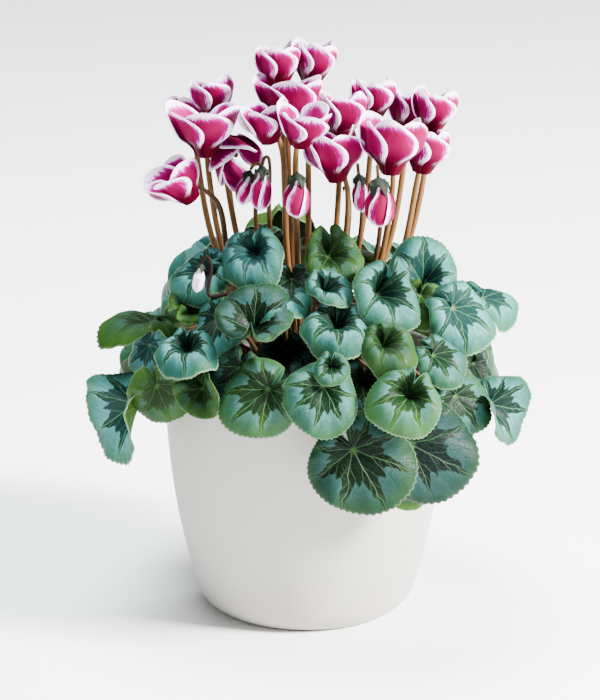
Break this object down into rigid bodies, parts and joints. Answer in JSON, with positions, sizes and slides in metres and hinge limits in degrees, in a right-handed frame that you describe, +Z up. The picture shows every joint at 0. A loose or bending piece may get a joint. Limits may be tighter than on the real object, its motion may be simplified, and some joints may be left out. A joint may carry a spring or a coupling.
{
  "type": "potted cyclamen",
  "caption": "Potted cyclamen with nodding pink and white blooms over a dome of marbled heart-shaped leaves, in a plain tapered cover pot.",
  "frame": {"origin": "middle of the pot's flat base, on the surface that the pot stands on", "axes": "+Z up, -Y towards the viewer of the picture, +X to the picture's right"},
  "size_m": [0.247, 0.2378, 0.3237],
  "materials": {
    "pot": "smooth matt warm white",
    "nursery_pot": "thin matt black plastic",
    "soil": "crumbly dark peat, matt",
    "stem": "tan to red-brown, slightly glossy",
    "leaf": "fleshy satin leaf, dark green with silver marbling",
    "petal": "soft satin petal, crimson-pink with a white margin",
    "bud": "soft satin petal, furled"
  },
  "bodies": {
    "root": {"bloom_centre": "petal", "bloom_centre_left": "petal", "bloom_far_left": "petal", "bloom_far_right": "petal", "bloom_left": "petal", "bloom_left_back": "petal", "bloom_left_low": "petal", "bloom_left_top": "petal", "bloom_right_back": "petal", "bloom_right_behind": "petal", "bloom_right_front": "petal", "bloom_right_low": "petal", "bloom_right_mid": "petal", "bloom_top_right": "petal", "bloom_upper": "petal", "bud_centre": "bud", "bud_left": "bud", "bud_left_low": "bud", "bud_right": "bud", "bud_right_behind": "bud", "bud_small": "bud", "corm_and_stems": "stem", "leaf_back_right": "leaf", "leaf_centre_left": "leaf", "leaf_centre_rim": "leaf", "leaf_front_left": "leaf", "leaf_front_low": "leaf", "leaf_front_low_right": "leaf", "leaf_front_mid": "leaf", "leaf_front_right": "leaf", "leaf_gap_dark": "leaf", "leaf_gap_right": "leaf", "leaf_inner_front": "leaf", "leaf_left_back": "leaf", "leaf_left_far": "leaf", "leaf_left_hang": "leaf", "leaf_left_outer": "leaf", "leaf_left_silver": "leaf", "leaf_left_small": "leaf", "leaf_low_green": "leaf", "leaf_rear_far_left": "leaf", "leaf_rear_mid": "leaf", "leaf_rear_mid_right": "leaf", "leaf_rear_top_left": "leaf", "leaf_rear_top_right": "leaf", "leaf_rear_upper_left": "leaf", "leaf_rear_upper_mid": "leaf", "leaf_rear_upper_right": "leaf", "leaf_right_big": "leaf", "leaf_right_edge": "leaf", "leaf_right_green": "leaf", "leaf_right_low": "leaf", "leaf_right_toothed": "leaf", "leaf_right_under": "leaf", "leaf_top_left": "leaf", "leaf_top_mid": "leaf", "leaf_top_right": "leaf", "nursery_pot": "nursery_pot", "pot": "pot", "soil": "soil"}
  },
  "joints": []
}
